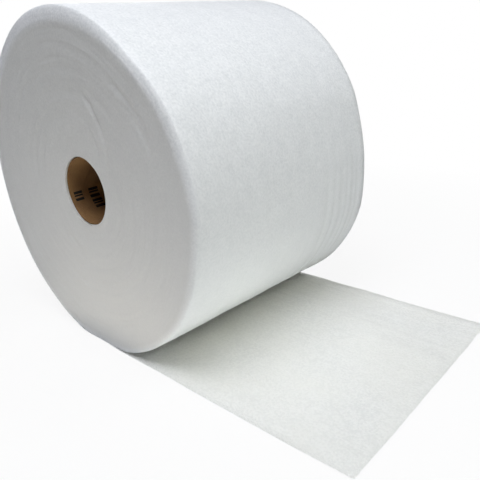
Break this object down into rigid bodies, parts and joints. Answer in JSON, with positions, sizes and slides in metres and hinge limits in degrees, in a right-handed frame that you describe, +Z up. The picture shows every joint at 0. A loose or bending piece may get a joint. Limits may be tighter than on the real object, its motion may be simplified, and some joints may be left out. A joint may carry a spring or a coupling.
{
  "type": "foam wrap roll",
  "caption": "Roll of white closed-cell foam wrap wound on a kraft paperboard tube, lying on its side with a free end of the web run out flat on the floor.",
  "frame": {"origin": "centre of the core tube's bore, halfway along the roll; the floor lies 193 mm below it", "axes": "+Y along the roll's axis, away from the end face that the free end's skewed cut runs out beside at its longer edge; +Z up; +X the way the free end of the web runs out over the floor"},
  "size_m": [0.556, 0.305, 0.389],
  "materials": {
    "kraft_board": "matte",
    "white_foam": "matte"
  },
  "bodies": {
    "root": {"core_tube": "kraft_board", "foam_web": "white_foam"}
  },
  "joints": []
}
